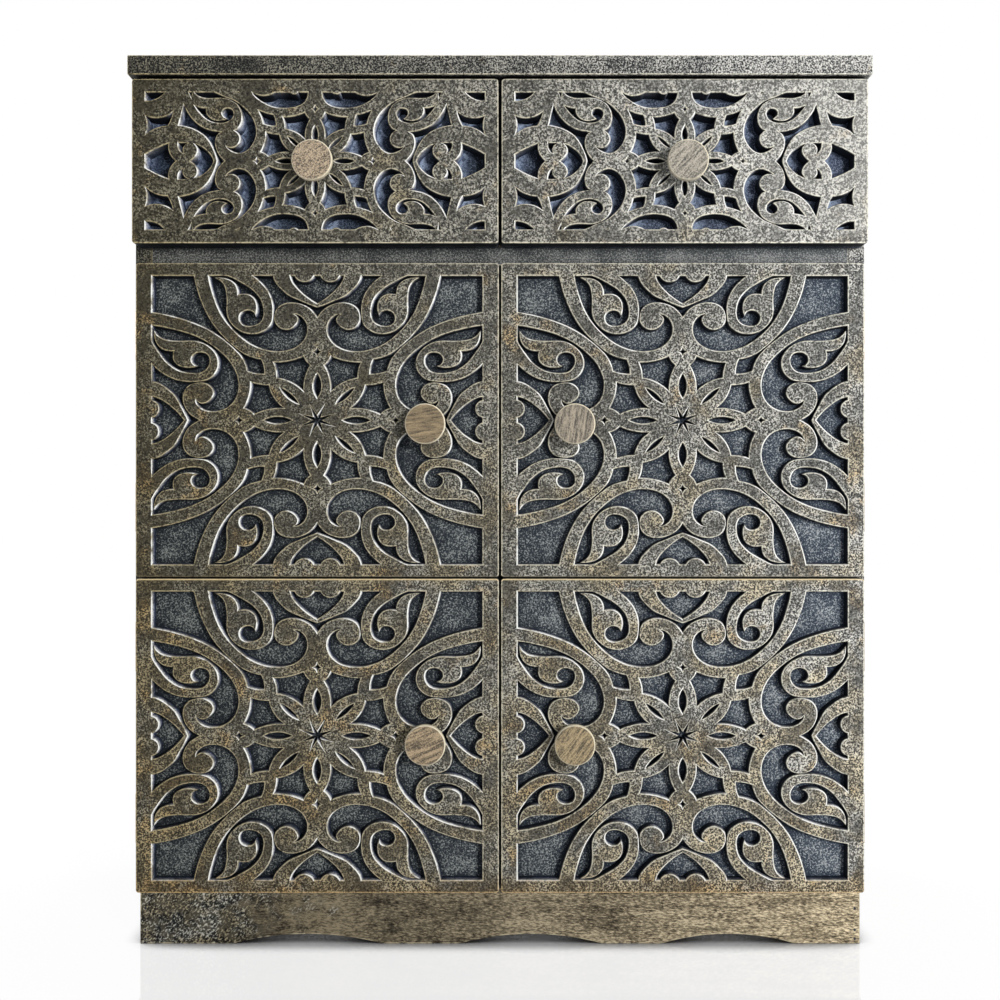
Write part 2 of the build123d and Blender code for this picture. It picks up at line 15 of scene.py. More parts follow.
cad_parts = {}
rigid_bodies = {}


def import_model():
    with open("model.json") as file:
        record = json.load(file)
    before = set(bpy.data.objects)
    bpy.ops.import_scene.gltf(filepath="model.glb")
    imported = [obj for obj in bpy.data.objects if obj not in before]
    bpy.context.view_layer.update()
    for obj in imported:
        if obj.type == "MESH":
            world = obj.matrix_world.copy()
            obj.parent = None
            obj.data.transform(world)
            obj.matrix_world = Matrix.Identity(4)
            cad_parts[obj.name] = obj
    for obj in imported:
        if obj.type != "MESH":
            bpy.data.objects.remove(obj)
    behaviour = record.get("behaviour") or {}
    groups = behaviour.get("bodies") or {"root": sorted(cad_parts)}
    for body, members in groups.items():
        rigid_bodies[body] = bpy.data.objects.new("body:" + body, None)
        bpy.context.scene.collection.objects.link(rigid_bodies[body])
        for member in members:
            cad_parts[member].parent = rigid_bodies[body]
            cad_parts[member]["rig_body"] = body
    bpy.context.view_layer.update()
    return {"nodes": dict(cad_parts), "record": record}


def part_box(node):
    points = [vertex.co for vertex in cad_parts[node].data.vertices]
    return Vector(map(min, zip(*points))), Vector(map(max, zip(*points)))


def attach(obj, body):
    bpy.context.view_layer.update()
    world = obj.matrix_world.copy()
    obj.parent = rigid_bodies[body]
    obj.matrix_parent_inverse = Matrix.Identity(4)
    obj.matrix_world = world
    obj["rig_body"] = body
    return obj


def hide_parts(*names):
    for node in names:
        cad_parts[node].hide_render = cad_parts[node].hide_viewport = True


for leftover in list(bpy.data.objects):
    bpy.data.objects.remove(leftover)
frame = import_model()
nodes = frame["nodes"]
slot_of = {part["node"]: part["material_slot"] for part in frame["record"]["subparts"]}

MM = 0.001
FRONT_WIDTH = 0.74             # metres over which the front turns from dark to pale, partly in its paint and partly as painted light from the right

# Heights, in metres, over which the paint, or the light and shade painted into it, turns from one
# kind to the next.
PLINTH_TO_DOORS = (0.05, 0.09)
LOWER_DOORS = (0.2, 0.45)
PALER_FOOT = (0.3, 0.45)
UPPER_HALF = (0.35, 0.5)
RAIL = (0.694, 0.709)
DOORS_TO_DRAWERS = (0.69, 0.74)
UNDER_TOP_BOARD = (0.872, 0.876)

PAINT_STEPS = (0.12, 0.5, 0.9)  # where dark, middle and pale paint lie along its value

# ---------------------------------------------------------------- camera, lamps and stage
CAMERA_PLACE = (0.0, -1.36025, 0.4536)
CAMERA_LENS = 43.2
KEY_PLACE = (1.45, -3.0, 0.85)
KEY_SIZE = (0.5, 0.5)
KEY_POWER = 83.0
FILL_PLACE = (-1.6, -2.2, 0.8)
FILL_SIZE = (1.8, 1.8)
FILL_POWER = 6.5
BACK_PLACE = (2.0, 1.9, 1.4)   # one of a pair, the other is mirrored to the left
BACK_SIZE = (1.2, 1.2)
BACK_POWER = 46.0
OVERHEAD_PLACE = (0.0, 0.3, 2.5)
OVERHEAD_SIZE = (1.0, 1.0)
OVERHEAD_POWER = 22.0
WORLD_LIGHT = 0.14
FLOOR_REACH = 6.0
FLOOR_MIRROR = 0.19            # how much of the floor's look is reflection
FLOOR_SHADED = 0.07            # how much of it follows the lamps
CONTACT_REACH = 32             # millimetres over which the contact shadow fades
UNDERSIDE_REACH = 120          # millimetres, enough to find the cabinet's underside, whose painted shade darkens the floor's glow


# ---------------------------------------------------------------- finishes
def tone(red, green, blue):
    """A colour given as it shows on a screen, 0 to 255, as linear light."""
    shares = [value / 255 for value in (red, green, blue)]
    linear = [s / 12.92 if s <= 0.04045 else ((s + 0.055) / 1.055) ** 2.4 for s in shares]
    return (*linear, 1.0)


class Finish:
    """A material under construction. Each method adds a node and returns its output."""

    def __init__(self, name, roughness=0.6, specular=0.12, metallic=0.0):
        self.material = bpy.data.materials.new(name)
        self.material.use_nodes = True
        self.tree = self.material.node_tree
        self.tree.nodes.clear()
        self.shader = self.add("ShaderNodeBsdfPrincipled")
        self.shader.inputs["Roughness"].default_value = roughness
        self.shader.inputs["Specular IOR Level"].default_value = specular
        self.shader.inputs["Metallic"].default_value = metallic
        output = self.add("ShaderNodeOutputMaterial")
        self.join(self.shader.outputs[0], output.inputs["Surface"])
        self.place = self.add("ShaderNodeTexCoord").outputs["Object"]

    def add(self, kind):
        return self.tree.nodes.new(kind)

    def join(self, output, socket):
        self.tree.links.new(output, socket)

    def put(self, value, socket):
        """Link a socket, or set it to a plain value."""
        if isinstance(value, bpy.types.NodeSocket):
            self.join(value, socket)
        else:
            socket.default_value = value

    def mapped(self, stretch=(1, 1, 1), turn=0.0, shift=(0, 0, 0)):
        """The place on the object, turned in the front plane and then stretched."""
        turned = self.add("ShaderNodeMapping")
        self.join(self.place, turned.inputs["Vector"])
        turned.inputs["Rotation"].default_value = (0, radians(turn), 0)
        scaled = self.add("ShaderNodeMapping")
        self.join(turned.outputs[0], scaled.inputs["Vector"])
        scaled.inputs["Scale"].default_value = stretch
        scaled.inputs["Location"].default_value = shift
        return scaled.outputs[0]

    def noise(self, period, stretch=(1, 1, 1), turn=0.0, shift=(0, 0, 0), detail=2.0, rough=0.55):
        """Smooth noise with features of about period millimetres."""
        node = self.add("ShaderNodeTexNoise")
        self.join(self.mapped(stretch, turn, shift), node.inputs["Vector"])
        node.inputs["Scale"].default_value = 1 / (period * MM)
        node.inputs["Detail"].default_value = detail
        node.inputs["Roughness"].default_value = rough
        return node.outputs["Fac"]

    def along(self, axis):
        """The place along one axis, in metres."""
        split = self.add("ShaderNodeSeparateXYZ")
        self.join(self.place, split.inputs[0])
        return split.outputs["XYZ".index(axis)]

    def frontward(self):
        """1 on faces that look to the front, 0 on all others."""
        coordinates = self.add("ShaderNodeTexCoord")
        split = self.add("ShaderNodeSeparateXYZ")
        self.join(coordinates.outputs["Normal"], split.inputs[0])
        return self.band(split.outputs["Y"], -0.9, -0.7, 1.0, 0.0)

    def rightward(self):
        """From 0 at the left end of the front to 1 at its right end."""
        # Colours follow this to turn paler to the right, partly as painted light from the lamps'
        # side.
        return self.sum((self.along("X"), 1 / FRONT_WIDTH), 0.5)

    def openness(self, reach, aim=None):
        """How open the surroundings are within reach millimetres, all round or towards a side."""
        node = self.add("ShaderNodeAmbientOcclusion")
        node.samples = 8
        node.inputs["Distance"].default_value = reach * MM
        if aim is not None:
            turned = self.add("ShaderNodeVectorTransform")
            turned.vector_type = "VECTOR"
            turned.convert_from = "OBJECT"
            turned.convert_to = "WORLD"
            turned.inputs[0].default_value = aim
            self.join(turned.outputs[0], node.inputs["Normal"])
        return node.outputs["AO"]

    def distance_from(self, point, ways=(1, 1, 1)):
        """How far the place is from a point, counting only the axes that ways holds as 1."""
        kept = self.add("ShaderNodeVectorMath")
        kept.operation = "MULTIPLY"
        self.join(self.place, kept.inputs[0])
        kept.inputs[1].default_value = ways
        node = self.add("ShaderNodeVectorMath")
        node.operation = "DISTANCE"
        self.join(kept.outputs[0], node.inputs[0])
        node.inputs[1].default_value = [p * way for p, way in zip(point, ways)]
        return node.outputs["Value"]

    def sum(self, *terms):
        """Add up sockets and numbers, each alone or as (value, factor)."""
        total = None
        for term in terms:
            value, factor = term if isinstance(term, tuple) else (term, 1.0)
            node = self.add("ShaderNodeMath")
            node.operation = "MULTIPLY_ADD"
            self.put(value, node.inputs[0])
            node.inputs[1].default_value = factor
            self.put(0.0 if total is None else total, node.inputs[2])
            total = node.outputs[0]
        return total

    def product(self, first, second):
        node = self.add("ShaderNodeMath")
        node.operation = "MULTIPLY"
        self.put(first, node.inputs[0])
        self.put(second, node.inputs[1])
        return node.outputs[0]

    def band(self, value, low, high, start=0.0, end=1.0):
        """Map low to high onto start to end, smoothly and with no overshoot."""
        node = self.add("ShaderNodeMapRange")
        node.interpolation_type = "SMOOTHSTEP"
        self.put(value, node.inputs["Value"])
        limits = {"From Min": low, "From Max": high, "To Min": start, "To Max": end}
        for name, number in limits.items():
            node.inputs[name].default_value = number
        return node.outputs[0]

    def between(self, value, rise, fall):
        """1 between a rising and a falling slope, each given by its two ends, else 0."""
        return self.product(self.band(value, *rise), self.band(value, *fall, 1.0, 0.0))

    def ramp(self, value, *stops):
        """Colours along a value, from (position, colour) stops."""
        node = self.add("ShaderNodeValToRGB")
        self.put(value, node.inputs[0])
        elements = node.color_ramp.elements
        while len(elements) < len(stops):
            elements.new(0.5)
        for element, (position, colour) in zip(elements, stops):
            element.position = position
            element.color = colour
        return node.outputs["Color"]

    def tones(self, value, places, colours):
        """Colours along a value, as they show on a screen, one at each place."""
        return self.ramp(value, *zip(places, (tone(*colour) for colour in colours)))

    def mix(self, factor, first, second):
        node = self.add("ShaderNodeMix")
        node.data_type = "RGBA"
        self.put(factor, node.inputs[0])
        self.put(first, node.inputs[6])
        self.put(second, node.inputs[7])
        return node.outputs[2]

    def attribute(self, name):
        node = self.add("ShaderNodeAttribute")
        node.attribute_name = name
        return node.outputs["Fac"]

    def bump(self, height, depth, under=None):
        """Relief of depth millimetres, on top of another bump if there is one."""
        node = self.add("ShaderNodeBump")
        node.inputs["Distance"].default_value = depth * MM
        self.join(height, node.inputs["Height"])
        if under is not None:
            self.join(under, node.inputs["Normal"])
        return node.outputs[0]

    def done(self, colour, normal=None, roughness=None, metallic=None):
        self.join(colour, self.shader.inputs["Base Color"])
        if normal is not None:
            self.join(normal, self.shader.inputs["Normal"])
        if roughness is not None:
            self.join(roughness, self.shader.inputs["Roughness"])
        if metallic is not None:
            self.join(metallic, self.shader.inputs["Metallic"])
        return self.material


def grain(finish, period, **shape):
    """Crisp speckle from 0 to 1, about as much of it dark as pale."""
    return finish.band(finish.noise(period, detail=3, rough=0.7, **shape), 0.41, 0.59)


def shaded(finish, value, lean, left, right):
    """Colour along a value, between the dark tones of the left end and the paler ones of the
    right end, partly painted light from the right.
    """
    left_tones = finish.tones(value, PAINT_STEPS, left)
    right_tones = finish.tones(value, PAINT_STEPS, right)
    return finish.mix(lean, left_tones, right_tones)


def bronze_layers(finish, lift=0.0):
    """Near-black paint rubbed with bronze, gold in places, as (colour, grain).

    It turns paler to the right, partly as painted light from the right, and is palest at the
    top right, where a pale wash is painted light too; lift makes all of it paler.
    """
    level = finish.rightward()
    squared = finish.product(level, level)
    # Painted light: paler towards the right, and palest at the top right where the light falls
    # most.
    height = finish.along("Z")
    drawers = finish.band(height, *DOORS_TO_DRAWERS)
    lit_top_right = finish.product(finish.product(squared, level), drawers)
    low = finish.band(height, *LOWER_DOORS, 1.0, 0.0)
    low_left = finish.product(finish.band(level, 0.05, 0.3, 1.0, 0.0), low)
    lean = finish.sum((level, 0.5), (squared, 0.5), (lit_top_right, 0.5), (low_left, 0.09),
                      (finish.band(height, *PALER_FOOT, 1.0, 0.0), 0.05))
    fine = grain(finish, 1.7)
    patches = finish.noise(30, detail=6, rough=0.7)
    rubbed = finish.band(patches, 0.36, 0.62, 0.78, 1.0)
    upper = finish.band(height, *UPPER_HALF)
    top_left = finish.product(finish.band(level, 0.0, 0.6, 1.0, 0.0), upper)
    value = finish.sum((finish.product(fine, rubbed), 0.95), (patches, 0.9), (lit_top_right, 0.22),
                       (top_left, -0.06), lift - 0.56)
    bronze = shaded(finish, value, lean,
                    ((14, 14, 13), (31, 32, 29), (122, 118, 102)),
                    ((36, 38, 40), (102, 103, 104), (216, 214, 208)))
    gold = shaded(finish, value, lean,
                  ((17, 15, 10), (43, 38, 26), (142, 126, 88)),
                  ((45, 41, 33), (122, 109, 85), (220, 206, 172)))
    ochre = finish.tones(value, PAINT_STEPS, ((34, 26, 17), (92, 74, 46), (196, 164, 108)))
    warm = finish.sum(finish.noise(48, shift=(3, 0, 5), detail=4), (height, -0.35), 0.10)
    rich = finish.sum(finish.noise(36, shift=(7, 0, 2), detail=5, rough=0.65), (height, -0.12))
    colour = finish.mix(finish.band(warm, 0.40, 0.60, 0.0, 0.8), bronze, gold)
    colour = finish.mix(finish.band(rich, 0.50, 0.64, 0.0, 0.7), colour, ochre)
    # Painted light: a pale wash on the drawers at the top right, stopping under the top board.
    below_top = finish.band(height, *UNDER_TOP_BOARD, 1.0, 0.0)
    top_right_light_wash = finish.product(finish.product(lit_top_right, squared), finish.product(below_top, 0.3))
    return finish.mix(top_right_light_wash, colour, tone(184, 182, 176)), fine


def crevice_shaded(finish, colour, reach):
    """The same colour, near black as painted shade in crevices narrower than reach millimetres.
    """
    return finish.mix(finish.band(finish.openness(reach), 0.3, 0.8), tone(8, 9, 12), colour)


def gold_edge(finish, edge, colour):
    """Lay a worn gold line over a colour where edge is near 1."""
    # The gold turns near white to the right, partly as painted light from the right.
    gold = finish.mix(finish.rightward(), tone(172, 158, 120), tone(236, 233, 218))
    plinth = finish.band(finish.along("Z"), *PLINTH_TO_DOORS, 1.0, 0.0)
    gold = finish.mix(plinth, gold, tone(204, 168, 110))
    wear = finish.band(finish.noise(3.4, detail=4, rough=0.75), 0.36, 0.56, 0.15, 1.0)
    return finish.mix(finish.product(edge, wear), colour, gold)


def door_top_line(finish, edge, colour):
    """Over a colour, gold rubbed on the lower doors' top edges and, above them, a near-black
    painted shadow of the gap.
    """
    door_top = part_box("door_lower_left_panel")[1].z
    above = finish.sum((finish.along("Z"), 1 / MM), -door_top / MM)
    rubbed = finish.between(above, (-3.0, -1.5), (0.3, 0.7))
    ridge = finish.product(finish.product(edge, rubbed), 0.8)
    colour = finish.mix(ridge, colour, tone(232, 208, 158))
    # Painted shadow: near black on the upper doors' lowest edge, where the gap between the rows
    # lies in shade.
    gap = finish.between(above, (0.5, 0.9), (2.2, 3.2))
    return finish.mix(finish.product(gap, 0.85), colour, tone(8, 8, 9))


def painted_lip_highlight(finish, edge, light_facing, patchy, colour):
    """Over a colour, a nearly white painted highlight on the lips that face the light."""
    spots = finish.band(finish.noise(4, detail=5, rough=0.75), 0.36, 0.58, 0.35, 1.0)
    bright = finish.product(spots, patchy)
    # Painted highlight: nearly white on the lips that face the light.
    lip = finish.product(finish.product(edge, bright), finish.product(light_facing, light_facing))
    return finish.mix(finish.band(lip, 0.10, 0.44, 0.0, 0.97), colour, tone(242, 242, 238))


def carved_paint(name, painted_light_tones):
    """Bronze faces, gold lips, and pocket walls painted pale where they face the light, as
    painted light.

    The last argument gives the colours of that painted light from the top of a wall down to its
    foot.
    """
    finish = Finish(name)
    face, height = bronze_layers(finish)
    deep = finish.attribute("deep")
    edge = finish.attribute("edge")
    light_facing = finish.attribute("light_facing")
    rough = finish.noise(1.6, detail=2)
    wall = finish.ramp(rough, (0.3, tone(12, 15, 20)), (0.7, tone(26, 30, 37)))
    colour = finish.mix(finish.band(deep, 0.01, 0.07), face, wall)
    colour = gold_edge(finish, edge, colour)
    colour = door_top_line(finish, edge, colour)
    ragged = finish.sum(deep, (rough, 1.2), -0.6)
    painted_light_colour = finish.tones(ragged, (0.05, 0.28, 0.58, 0.95), painted_light_tones)
    # Painted light: walls that face the light are painted pale, broken up by patches and speckle.
    clouds = finish.noise(22, shift=(1, 0, 6), detail=4, rough=0.6)
    patchy = finish.band(clouds, 0.40, 0.58, 0.25, 1.0)
    speckle = finish.band(finish.noise(2.2, detail=3, rough=0.7), 0.34, 0.56, 0.3, 1.0)
    painted_light_mask = finish.product(light_facing, finish.product(patchy, speckle))
    painted_light_on_wall = finish.product(painted_light_mask, finish.band(deep, 0.0, 0.03))
    colour = finish.mix(painted_light_on_wall, colour, painted_light_colour)
    colour = painted_lip_highlight(finish, edge, light_facing, patchy, colour)
    return finish.done(colour, finish.bump(height, 0.1))


def slate_paint(name, left, right, lit_fringe=0.0, below_shadow_gain=0.0):
    """Dark slate paint with a cream dust, as the pocket floors have it, darker near the walls
    partly as a thinner dust and partly as painted shade, and paler to the right partly as
    painted light.

    fringe is how strongly the painted light on a pocket's left wall runs out onto its floor, and
    below_shadow_gain how much paler the rail's lower edge is than its upper part, kept dark as
    painted shadow under the drawers.
    """
    finish = Finish(name)
    fine = finish.band(finish.noise(1.7, detail=4, rough=0.75), 0.43, 0.64)
    patches = finish.noise(22, detail=3)
    # Darker near the walls, by how open the floor is: a thinner dust and painted shade.
    value = finish.sum((fine, 0.75), (patches, 0.9), (finish.openness(9), 0.5), -0.70)
    if below_shadow_gain:
        # Painted shadow: the rail's upper part stays darker under the drawers, its lower edge
        # paler.
        lower = finish.band(finish.along("Z"), *RAIL, 1.0, 0.0)
        value = finish.sum(value, (lower, below_shadow_gain))
    level = finish.rightward()
    colour = shaded(finish, value, finish.product(level, level), left, right)
    if lit_fringe:
        # Painted light: pale blue on drawer floors beside the left walls, which the light
        # reaches, fading away from them.
        lit_near_left_wall = finish.band(finish.openness(16, aim=(-0.8, -0.6, 0.0)), 0.08, 0.54, lit_fringe, 0.0)
        lit_near_left_wall = finish.product(lit_near_left_wall, finish.band(level, 0.0, 0.3, 0.7, 1.0))
        worn = finish.band(finish.noise(4, detail=4, rough=0.7), 0.34, 0.6, 0.6, 1.0)
        lit_near_left_wall = finish.product(lit_near_left_wall, finish.product(worn, finish.frontward()))
        colour = finish.mix(finish.band(lit_near_left_wall, 0.0, 0.8), colour, tone(62, 76, 104))
        colour = finish.mix(finish.band(lit_near_left_wall, 0.4, 0.95), colour, tone(186, 202, 228))
    return finish.done(colour, finish.bump(fine, 0.15))


def carcass_paint():
    """Bronze over a coarser, hammered ground."""
    finish = Finish("carcass_paint")
    colour, height = bronze_layers(finish, lift=0.14)
    lumps = finish.band(finish.noise(2.1, detail=3, rough=0.65), 0.40, 0.60)
    colour = finish.mix(finish.band(lumps, 0.0, 0.5, 0.45, 0.0), colour, tone(28, 29, 29))
    # Painted shade: near black in narrow crevices.
    colour = crevice_shaded(finish, colour, 9)
    return finish.done(colour, finish.bump(finish.sum((height, 0.4), (lumps, 0.6)), 0.2))


def worn_edge():
    """The rounded edges of painted boards, where the gold was wiped on."""
    finish = Finish("worn_edge")
    colour, height = bronze_layers(finish)
    wiped = finish.band(finish.noise(9, detail=3), 0.3, 0.5, 0.35, 0.95)
    colour = gold_edge(finish, wiped, colour)
    # Painted shade: near black in narrow crevices.
    return finish.done(crevice_shaded(finish, colour, 6), finish.bump(height, 0.1))


def plinth_paint():
    """Level gold strokes that give way to dark hammered paint at the left."""
    finish = Finish("plinth_paint")
    strokes = finish.noise(1.5, stretch=(0.3, 1, 1), turn=-4, detail=4, rough=0.75)
    long_strokes = finish.noise(5, stretch=(0.08, 1, 1), turn=2, detail=4, rough=0.65)
    patches = finish.noise(45, stretch=(0.6, 1, 1.6), detail=4, rough=0.6)
    across = finish.along("X")
    pale_patch = finish.between(across, (-0.24, -0.21), (-0.16, -0.11))
    value = finish.sum((strokes, 3.0), (long_strokes, 0.8), (patches, 1.0), (pale_patch, 0.2),
                       -1.9)
    # Paler towards the right, partly as painted light from the right.
    rightward = finish.rightward()
    lean = finish.product(rightward, finish.sum((rightward, 0.8), 0.2))
    level = shaded(finish, value, lean,
                   ((14, 12, 9), (38, 34, 27), (104, 93, 72)),
                   ((54, 47, 36), (156, 141, 115), (244, 228, 194)))
    lumps = finish.noise(1.9, stretch=(0.6, 1, 1), turn=42, detail=4, rough=0.75)
    worn = finish.noise(24, shift=(2, 0, 1), detail=5, rough=0.65)
    shine = finish.sum((finish.band(lumps, 0.42, 0.64), 1.0), (worn, 1.1), -0.535)
    steps = (0.1, 0.5, 0.95)
    hammered = finish.mix(
        finish.band(finish.noise(30, shift=(0, 0, 4), detail=3), 0.42, 0.58),
        finish.tones(shine, steps, ((8, 10, 13), (54, 56, 55), (186, 184, 174))),
        finish.tones(shine, steps, ((12, 11, 9), (58, 54, 44), (156, 146, 120))),
    )
    blotch = finish.sum(across, (finish.noise(60, detail=4), 0.35))
    leftward = finish.band(blotch, -0.08, -0.03, 1.0, 0.0)
    colour = finish.mix(leftward, level, hammered)
    gilt = finish.band(finish.noise(12, detail=4), 0.42, 0.58)
    edge = finish.product(finish.attribute("edge"), gilt)
    colour = finish.mix(finish.product(edge, 0.9), colour, tone(196, 184, 154))
    height = finish.mix(leftward, strokes, lumps)
    return finish.done(colour, finish.bump(height, 0.3))


def knob_paint(name, turn, base, streak, mottle):
    """Brushed gold-brown paint, its strokes turned in the front plane, with a pale gold rim that
    a painted highlight brightens towards the upper right.
    """
    finish = Finish(f"knob_paint_{name}", roughness=0.5, specular=0.3)
    low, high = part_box(f"{name}_knob")
    centre = (low + high) / 2
    radius = (high.x - low.x) / 2
    strokes = finish.noise(3.0, stretch=(0.12, 1, 1), turn=turn, detail=4, rough=0.7)
    fine = grain(finish, 1.5)
    value = finish.sum((strokes, 1.5 * streak), (fine, 0.3 * mottle),
                       0.5 - 0.75 * streak - 0.15 * mottle)
    dark = tone(*[0.55 * channel for channel in base])
    pale = tone(*[min(255, 1.28 * channel) for channel in base])
    colour = finish.ramp(value, (0.2, dark), (0.5, tone(*base)), (0.8, pale))
    from_axis = finish.distance_from(centre, (1, 0, 1))
    # A gold rim all round, with a painted highlight that brightens it towards the upper right.
    gold_rim_and_highlight = finish.band(from_axis, radius - 1.6 * MM, radius - 0.5 * MM)
    toward_light = finish.sum((finish.along("X"), 0.8), (finish.along("Z"), 0.6),
                          -0.8 * centre.x - 0.6 * centre.z)
    gold_rim_and_highlight = finish.product(gold_rim_and_highlight, finish.band(toward_light, -0.6 * radius, 0.8 * radius, 0.4, 1.0))
    colour = finish.mix(gold_rim_and_highlight, colour, tone(236, 226, 200))
    return finish.done(colour, finish.bump(value, 0.12))


def bare_wood(name, dark, pale, grain_axis):
    """Planed wood with its grain along one axis."""
    finish = Finish(name, roughness=0.6)
    stretch = [1.0, 1.0, 1.0]
    stretch["XYZ".index(grain_axis)] = 0.06
    rings = finish.noise(9, stretch=stretch, detail=4, rough=0.6)
    pores = finish.noise(1.2, stretch=stretch, detail=2)
    value = finish.sum((rings, 0.8), (pores, 0.35), -0.08)
    colour = finish.ramp(value, (0.3, tone(*dark)), (0.7, tone(*pale)))
    return finish.done(colour, finish.bump(value, 0.05))


def metal(name, colour, roughness):
    finish = Finish(name, roughness=roughness, specular=0.5, metallic=1.0)
    scratches = finish.noise(1.5, stretch=(1, 1, 0.1), detail=3)
    stain = finish.noise(8, detail=3)
    shade = finish.ramp(stain, (0.3, tone(*[0.75 * c for c in colour])), (0.65, tone(*colour)))
    worn = finish.band(stain, 0.3, 0.7, roughness - 0.08, roughness + 0.12)
    return finish.done(shade, finish.bump(scratches, 0.02), roughness=worn)


def moulded_plastic():
    finish = Finish("catch_plastic", roughness=0.45, specular=0.4)
    speckle = finish.noise(0.6, detail=2)
    colour = finish.ramp(speckle, (0.3, tone(44, 30, 22)), (0.7, tone(62, 44, 32)))
    return finish.done(colour, finish.bump(speckle, 0.03))


finishes = {
    "carved_paint": carved_paint(
        "carved_paint",
        ((240, 239, 236), (188, 192, 206), (78, 90, 118), (26, 32, 44)),
    ),
    "recess_paint": slate_paint(
        "recess_paint",
        ((21, 26, 32), (41, 46, 50), (130, 134, 130)),
        ((45, 54, 69), (74, 84, 96), (174, 179, 182)),
    ),
    "carcass_paint": carcass_paint(),
    "plinth_paint": plinth_paint(),
    "raw_wood": bare_wood("raw_wood", (150, 108, 66), (204, 166, 116), "X"),
    "plywood": bare_wood("plywood", (158, 122, 80), (206, 172, 126), "Z"),
    "steel": metal("steel", (190, 190, 188), 0.35),
    "brass": metal("brass", (186, 150, 84), 0.38),
    "catch_plastic": moulded_plastic(),
}
for owner in ("drawer_left", "drawer_right"):
    finishes[f"{owner}_carving"] = carved_paint(
        f"{owner}_carved_paint",
        ((240, 239, 238), (212, 216, 232), (150, 164, 196), (96, 112, 144)),
    )
    finishes[f"{owner}_front"] = slate_paint(
        f"{owner}_recess",
        ((8, 12, 18), (22, 30, 40), (70, 82, 100)),
        ((38, 45, 60), (74, 84, 103), (138, 148, 170)),
        lit_fringe=1.0,
    )
finishes["plinth_nails"] = metal("painted_nail", (58, 60, 66), 0.45)
finishes["drawer_deck"] = slate_paint(
    "rail_paint",
    ((26, 29, 31), (54, 56, 55), (126, 126, 121)),
    ((66, 71, 74), (98, 102, 104), (166, 168, 167)),
    below_shadow_gain=0.16,
)
edge_finish = worn_edge()

# Each knob was brushed its own way: (turn of the strokes, colour, streaks, mottling).
knob_looks = {
    "door_upper_left": (6, (120, 105, 81), 1.3, 0.5),
    "door_upper_right": (82, (124, 115, 101), 1.9, 0.9),
    "door_lower_left": (25, (133, 117, 94), 1.9, 1.2),
    "door_lower_right": (50, (130, 115, 88), 1.8, 1.0),
    "drawer_left": (35, (147, 132, 112), 1.0, 1.8),
    "drawer_right": (48, (136, 130, 119), 1.4, 1.2),
}
for owner, (turn, base, streak, mottle) in knob_looks.items():
    finishes[f"{owner}_knob"] = knob_paint(owner, turn, base, streak, mottle)


# ---------------------------------------------------------------- carved boards
# Across the lip of a pocket: (millimetres into the pocket, depth, gold).
# The depths of a foot are measured up from the pocket's floor.
pocket_lip = (
    (-0.75, 0.0, 0.1),
    (-0.45, 0.03, 0.9),
    (-0.10, 0.17, 1.0),
    (0.25, 0.45, 0.8),
    (0.55, 0.90, 0.3),
    (0.80, 1.60, 0.0),
    (0.92, 2.60, 0.0),
)
pocket_foot = ((1.0, 0.5, 0.0), (1.25, 0.0, 0.0))
# The same across the board's outer edge, which stays inside its outline.
rim_lip = (
    (-1.35, 0.0, 0.1),
    (-1.00, 0.03, 0.9),
    (-0.45, 0.20, 1.0),
    (-0.10, 0.60, 1.0),
    (0.0, 1.20, 0.5),
    (0.0, 2.2, 0.0),
)
rim_foot = ((0.0, 0.5, 0.0), (-0.4, 0.0, 0.0))
LIGHT_FROM = Vector((0.95, 0.32))  # across and up: where the light comes from, for the pale painted light on walls that face it
LIGHT_LEAST = 0.05              # a wall that faces the light less than this gets none of that painted light
LIGHT_SPAN = 0.6                # how much more squarely it has to face it to get all of it
RIM_LIGHT = 0.25                # share of that painted light on the boards' outer edges
SHARP_TURN = radians(38)       # a corner that turns more than this stays crisp
MITRE_LIMIT = 1.6              # how much further a corner may move than its sides
NECK_SHARE = 0.42              # share of a narrow neck of wood that a lip may take
HOLE_SHARE = 0.25              # share of a small hole that a lip may take
ON_FRONT = 0.01 * MM           # how near a point lies to the front face to be in it
OWN_SIDE = 0.02 * MM           # an outline met nearer than this is the point's own
FARTHEST = 1.0                 # metres of room for a point that meets no outline
AT_ONCE = 400                  # points measured together, to spare memory
HOLES_OPEN = 2                 # the triangulation's output that leaves holes open


def front_loops(node):
    """The outlines in a board's front face, each with the wood on its left."""
    mesh = node.data
    mesh.calc_loop_triangles()
    places = np.empty(len(mesh.vertices) * 3)
    mesh.vertices.foreach_get("co", places)
    places = places.reshape(-1, 3)
    corners = np.empty(len(mesh.loop_triangles) * 3, int)
    mesh.loop_triangles.foreach_get("vertices", corners)
    rounded = np.round(places, 6)
    unique, welded = np.unique(rounded, axis=0, return_inverse=True)
    triangles = welded.reshape(-1)[corners].reshape(-1, 3)
    front = unique[:, 1].min()
    facing = triangles[(unique[triangles, 1] < front + ON_FRONT).all(axis=1)]
    sides = {(int(t[k]), int(t[k - 2])) for t in facing for k in range(3)}
    follows = {start: end for start, end in sides if (end, start) not in sides}
    loops = []
    while follows:
        start = next(iter(follows))
        loop = [start]
        step = follows.pop(start)
        while step != start:
            loop.append(step)
            step = follows.pop(step)
        loops.append(unique[loop][:, [0, 2]])
    loops.sort(key=lambda loop: -np.ptp(loop[:, 0]) * np.ptp(loop[:, 1]))
    return loops


